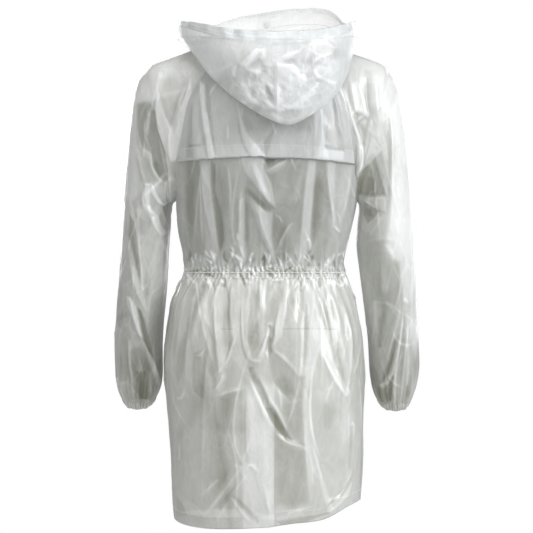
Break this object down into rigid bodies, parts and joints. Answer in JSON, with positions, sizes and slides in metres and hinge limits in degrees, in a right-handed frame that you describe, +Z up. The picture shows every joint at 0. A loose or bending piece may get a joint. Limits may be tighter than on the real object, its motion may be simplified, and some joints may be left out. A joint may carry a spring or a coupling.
{
  "type": "raincoat",
  "caption": "Knee-length hooded raincoat of translucent frosted film, worn shape, with raglan sleeves, back storm flap, gathered waist casing, elastic cuffs and a back vent.",
  "frame": {"origin": "centre of the neck opening at the height of the shoulders, where the wearer holds the coat up", "axes": "+Z up; the coat's front faces -Y and its back +Y; the wearer's left is +X"},
  "size_m": [0.5823, 0.353, 0.9864],
  "materials": {
    "film": "thin frosted translucent film with a soft sheen, creased",
    "sealed_film": "two layers of the same film, welded and stitched",
    "snap_plastic": "milky moulded plastic"
  },
  "bodies": {
    "root": {"back": "film", "front_left": "film", "front_right": "film", "storm_flap": "film", "waist_casing": "sealed_film", "skirt_back_left": "film", "skirt_back_right": "film", "vent_underlap": "film", "skirt_front_left": "film", "skirt_front_right": "film", "sleeve_left": "film", "sleeve_right": "film", "cuff_left": "sealed_film", "cuff_right": "sealed_film", "hood_left": "film", "hood_right": "film", "hood_brim": "sealed_film", "front_placket": "sealed_film", "snap_1": "snap_plastic", "snap_2": "snap_plastic", "snap_3": "snap_plastic", "snap_4": "snap_plastic", "snap_5": "snap_plastic", "snap_6": "snap_plastic", "snap_7": "snap_plastic", "snap_8": "snap_plastic"}
  },
  "joints": []
}
